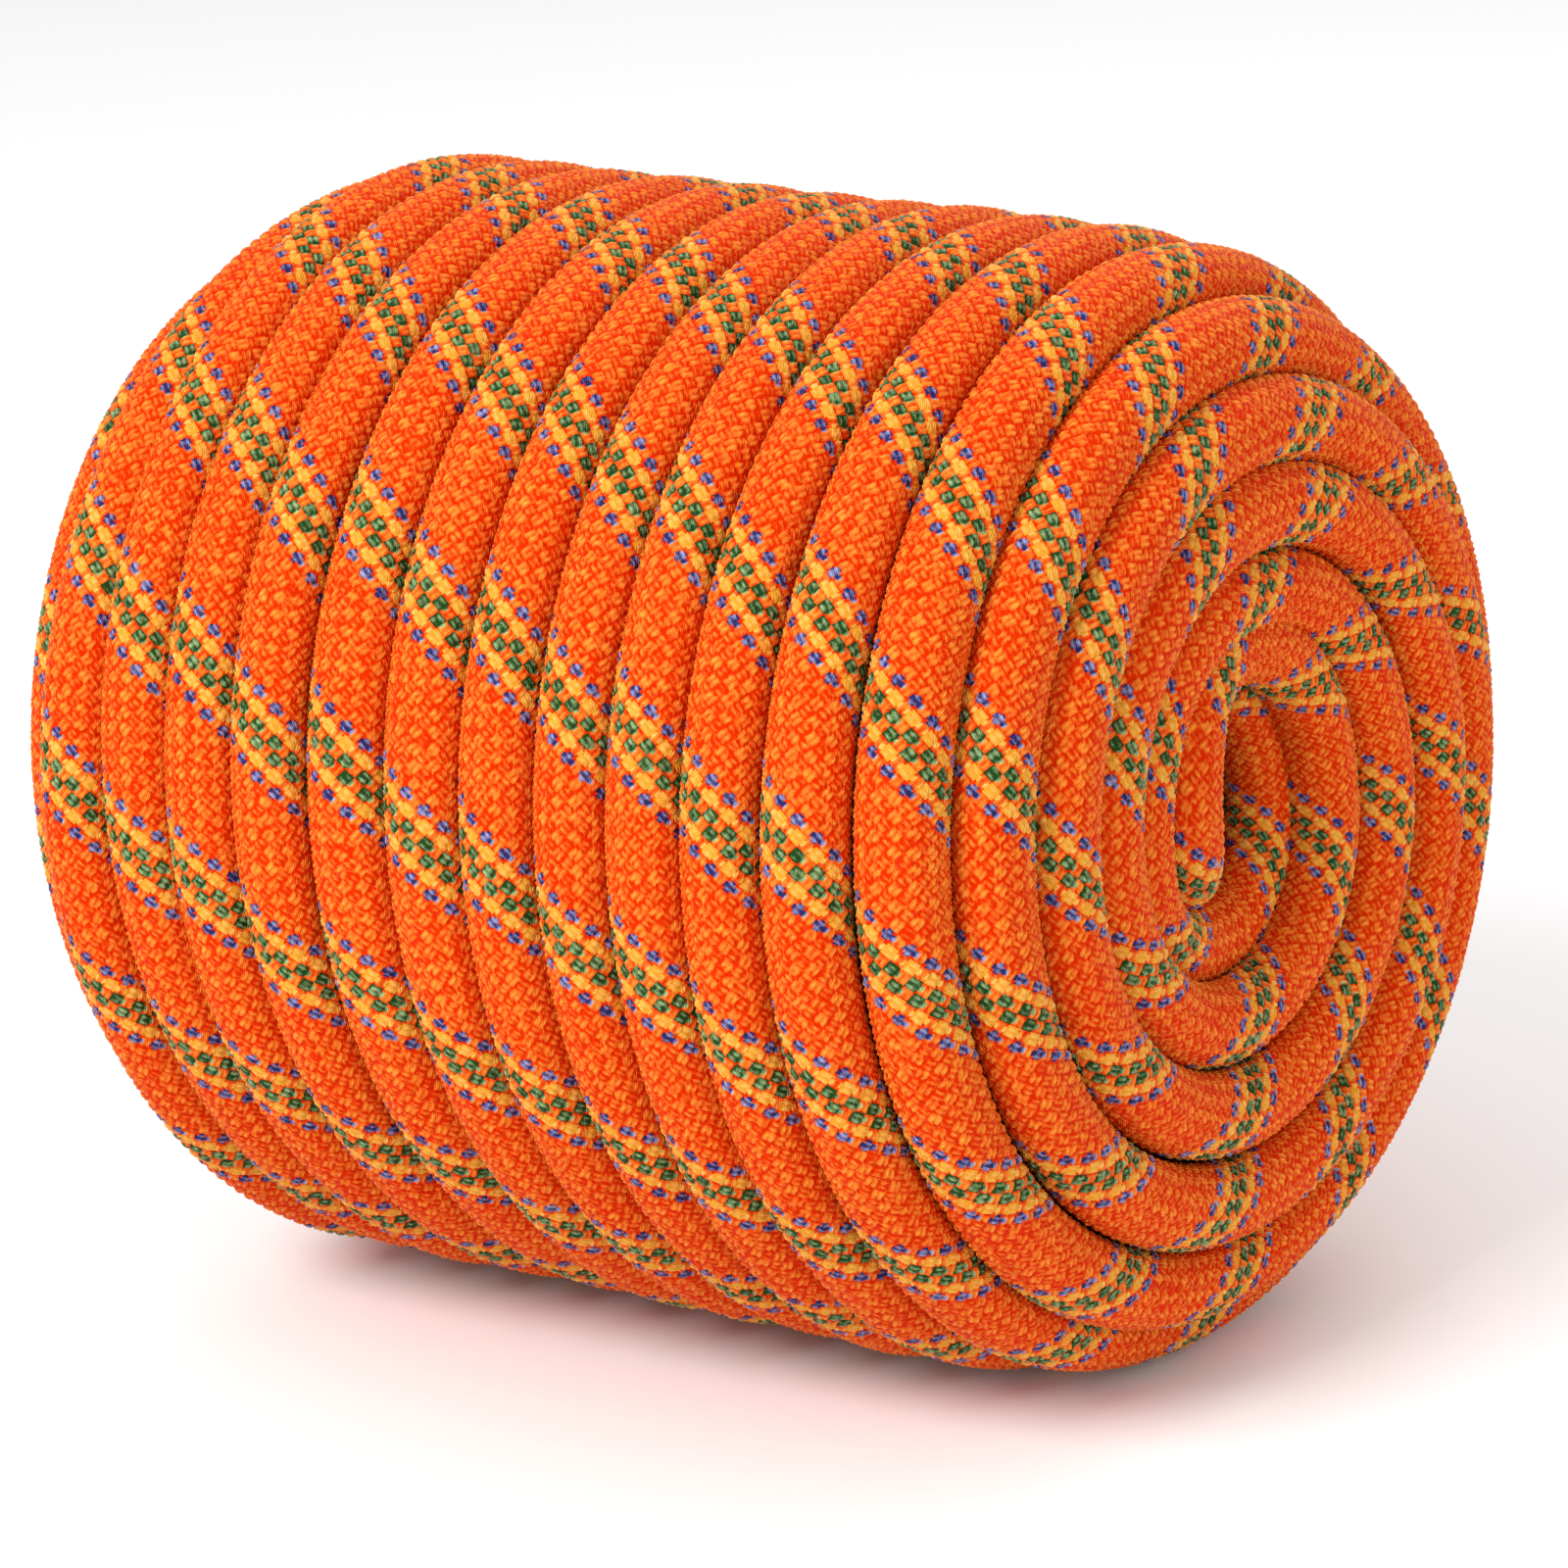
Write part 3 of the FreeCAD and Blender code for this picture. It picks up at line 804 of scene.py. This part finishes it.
def left_step(number):
    """The turn at which the rope steps inwards at the -X end: 0 is where the inner start goes under."""
    return LAYERS_START + 2 * number * LAYER_TURNS


def start_stretches(letter, first_turn, last_turn):
    """One start's braid: its name, first turn, last turn, and that it isn't whole."""
    names = [f"braid_face_{letter}"] + [f"braid_outside_{letter}{i}" for i in range(1, len(START_CUTS))]
    cuts = [first_turn + cut for cut in START_CUTS] + [last_turn]
    return [(name, *ends, False) for name, *ends in zip(names, cuts, cuts[1:])]


def make_sheaths():
    """The braid over the stretches of the rope that show: first turn, last turn, and if it is whole."""
    stretches = [
        ("braid_inner_end", None, 0.0, True),
        *start_stretches("a", 0.0, left_step(0)),
        ("braid_left_rings_a", left_step(0), left_step(0) + 1.8, False),
        ("braid_left_rings_b", left_step(1) - 2.2, left_step(1), False),
        ("braid_left_rings_c", left_step(1), left_step(1) + 2.2, False),
        ("braid_left_rings_d", left_step(2) - 2.0, left_step(2) + 3.0, False),
        ("braid_hole_wall", OUTER_START - 3.0, OUTER_START, False),
        *start_stretches("b", OUTER_START, LAST_TURN - OUTER_END_TURNS),
        ("braid_outer_end", LAST_TURN - OUTER_END_TURNS, None, True),
    ]
    sheaths = []
    for name, first_turn, last_turn, whole in stretches:
        start = 0.0 if first_turn is None else along_at(first_turn)
        end = LINE.length if last_turn is None else along_at(last_turn)
        piece = braid(name, LINE, start, end, whole, YARNS)
        sheaths.append(piece)
    return sheaths


# ---------------------------------------------------------------- the two ends
# Each end's place along the rope, the direction inwards from it, and the length of its core.
ENDS = {"inner_end": (0.0, 1, 0.106), "outer_end": (LINE.length, -1, 0.235)}
END_SIDES = 48
LABEL_RADIUS = 0.00510
SLEEVE_RADIUS = 0.00535
SLEEVE_STEPS = 68
# The height of the sleeve's ripples over the weave and half the length of one, how far its lips curl in,
# and how far it stands off the label.
SLEEVE_RIPPLE = 0.00004
RIPPLE_LENGTH = 0.00112
LIP_CURL = 0.0001
SLEEVE_GAP = 0.00002
# The label, and the rows of its two printed rings: how far in from its edges, and how many.
LABEL_INSET = 0.0025
LABEL_LENGTH = 0.012
LABEL_THICK = 0.0001
LABEL_STEPS = 48
RING_MARGIN = 4
RING_ROWS = 3
# The core's two rings of strands: how many, and how far out. Each strand's plies turn once in PLY_TURN.
OUTER_STRANDS = (9, 0.0029)
INNER_STRANDS = (3, 0.00102)
STRAND_RADIUS = 0.00085
STRAND_STEP = 0.0011
STRAND_SIDES = 12
PLY_TURN = 0.009
PLY_DEPTH = 0.08
# The tape's place between core and sheath, its section, its steps, and the height and length of its waves.
TAPE_RING = 0.0038
TAPE_HALF_WIDTH = 0.0006
TAPE_HALF_THICK = 0.00004
TAPE_STEP = 0.0015
TAPE_WAVE = 0.00005
TAPE_WAVE_RADIAN = 0.004


def end_tube(name, end, profile, materials, closed=False, uneven=0.0):
    """A tube round the rope near one end. The profile is (in from the end, radius) pairs."""
    at, inwards, _ = ENDS[end]
    along = np.array([at + inwards * depth for depth, _ in profile])
    angle = np.linspace(0, math.tau, END_SIDES, endpoint=False)
    lumps = np.sin(3 * angle + 0.6)[None] + 0.6 * np.sin(7 * angle + 400 * along[:, None])
    radii = np.array([radius for _, radius in profile])[:, None] * (1 + uneven * lumps)
    places = tube_places(LINE, along, radii, END_SIDES)
    quads = grid_quads(len(profile), END_SIDES, closed)
    return mesh_object(name, places, quads if inwards < 0 else quads[:, ::-1], materials)


def shrink_sleeve(end, material):
    """The clear sleeve: shrunk on tight, so that it follows the weave, with a soft lip at each end."""
    depths = [SLEEVE_LENGTH * i / SLEEVE_STEPS for i in range(SLEEVE_STEPS + 1)]
    outside = [(d, SLEEVE_RADIUS + SLEEVE_RIPPLE * math.sin(math.pi * d / RIPPLE_LENGTH)) for d in depths]
    outside[0] = (0.0, SLEEVE_RADIUS - LIP_CURL)
    outside[-1] = (SLEEVE_LENGTH, SLEEVE_RADIUS - LIP_CURL)
    inside = [(d, LABEL_RADIUS + SLEEVE_GAP) for d in depths[::-4]]
    profile = outside + inside
    piece = end_tube(f"{end}_shrink_sleeve_film", end, profile, [material], closed=True, uneven=0.004)
    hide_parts(f"{end}_shrink_sleeve")
    return piece


def label_band(end, film, print_ink):
    """The label under the sleeve: a plain pale film with a ring of ink near each edge."""
    depths = [LABEL_INSET + LABEL_LENGTH * i / LABEL_STEPS for i in range(LABEL_STEPS + 1)]
    outside = [(d, LABEL_RADIUS) for d in depths]
    inside = [(d, LABEL_RADIUS - LABEL_THICK) for d in depths[::-4]]
    piece = end_tube(f"{end}_label_film", end, outside + inside, [film, print_ink], closed=True)
    numbers = np.zeros(len(piece.data.polygons), np.int32)
    for first_row in (RING_MARGIN, LABEL_STEPS - RING_MARGIN - RING_ROWS):
        numbers[first_row * END_SIDES:(first_row + RING_ROWS) * END_SIDES] = 1
    piece.data.polygons.foreach_set("material_index", numbers)
    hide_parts(f"{end}_label_band")
    return piece


def fused_cap(end, material):
    """The melted end of the rope: a lumpy rounded plug that swells a little over the sheath."""
    profile = [
        (0.0004, 0.0047), (0.0001, 0.0050), (-0.0004, 0.0051), (-0.0010, 0.00495), (-0.0015, 0.0045),
        (-0.0018, 0.0038), (-0.0019, 0.0028), (-0.0018, 0.0016), (-0.00175, 0.0),
    ]
    piece = end_tube(f"{end}_melted_cap", end, [(0.0004, 0.0)] + profile, [material], uneven=0.018)
    weld(piece)
    smooth = piece.modifiers.new("smooth", "SUBSURF")
    smooth.levels = smooth.render_levels = 1
    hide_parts(f"{end}_fused_cap")
    return piece


def core_strands(end, material):
    """Nine strands round three, each of three plies twisted together."""
    at, inwards, length = ENDS[end]
    depths = np.arange(0.0, length, STRAND_STEP)
    along = at + inwards * depths
    angle = np.linspace(0, math.tau, STRAND_SIDES, endpoint=False)
    plies = np.cos(3 * (angle[None] - math.tau * depths[:, None] / PLY_TURN))
    radii = STRAND_RADIUS * (1 - PLY_DEPTH + PLY_DEPTH * plies)
    number = 0
    for count, ring in (OUTER_STRANDS, INNER_STRANDS):
        for i in range(count):
            number += 1
            turn = math.tau * i / count
            across, above = ring * math.cos(turn), ring * math.sin(turn)
            places = tube_places(LINE, along, radii, STRAND_SIDES, across, above)
            name = f"{end}_core_strand_{number:02d}"
            piece = mesh_object(f"{name}_plies", places, grid_quads(len(along), STRAND_SIDES), [material])
            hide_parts(name)


def identity_tape(end, material):
    """The thin flat tape between the core and the sheath, a little wavy."""
    at, inwards, length = ENDS[end]
    depths = np.arange(0.0, length, TAPE_STEP)
    centre, _, side, third = LINE.at(at + inwards * depths)
    rise = TAPE_RING + TAPE_WAVE * np.sin(depths / TAPE_WAVE_RADIAN)
    corners = [(1, 1), (-1, 1), (-1, -1), (1, -1)]
    rows = [
        centre + side * TAPE_HALF_WIDTH * wide + third * (rise + TAPE_HALF_THICK * high)[:, None]
        for wide, high in corners
    ]
    places = np.stack(rows, axis=1).reshape(-1, 3)
    piece = mesh_object(f"{end}_identity_tape_film", places, grid_quads(len(depths), 4), [material])
    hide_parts(f"{end}_identity_tape")


def make_ends():
    """Everything on the two ends. Gives back the pieces that lie on the rope."""
    clear = clear_film()
    film = speckled_material("label_film_pale", ((0.80, 0.79, 0.75), (0.90, 0.89, 0.86)), 500.0, 0.35)
    ink = speckled_material("label_ink_green", ((0.02, 0.07, 0.03), (0.05, 0.12, 0.05)), 700.0, 0.4)
    melted = speckled_material("melted_nylon", ((0.10, 0.020, 0.008), (0.42, 0.055, 0.010)), 420.0, 0.15)
    core = speckled_material("core_nylon", CORE_WHITE, 1600.0, 0.55, bump=0.5)
    tape = speckled_material("identity_tape_film", ((0.75, 0.73, 0.66), (0.90, 0.88, 0.82)), 300.0, 0.4)
    on_rope = []
    for end in ENDS:
        on_rope += [shrink_sleeve(end, clear), label_band(end, film, ink), fused_cap(end, melted)]
        core_strands(end, core)
        identity_tape(end, tape)
    return on_rope


rope, rope_path = make_rope()
make_sheaths() + make_ends()
studio()
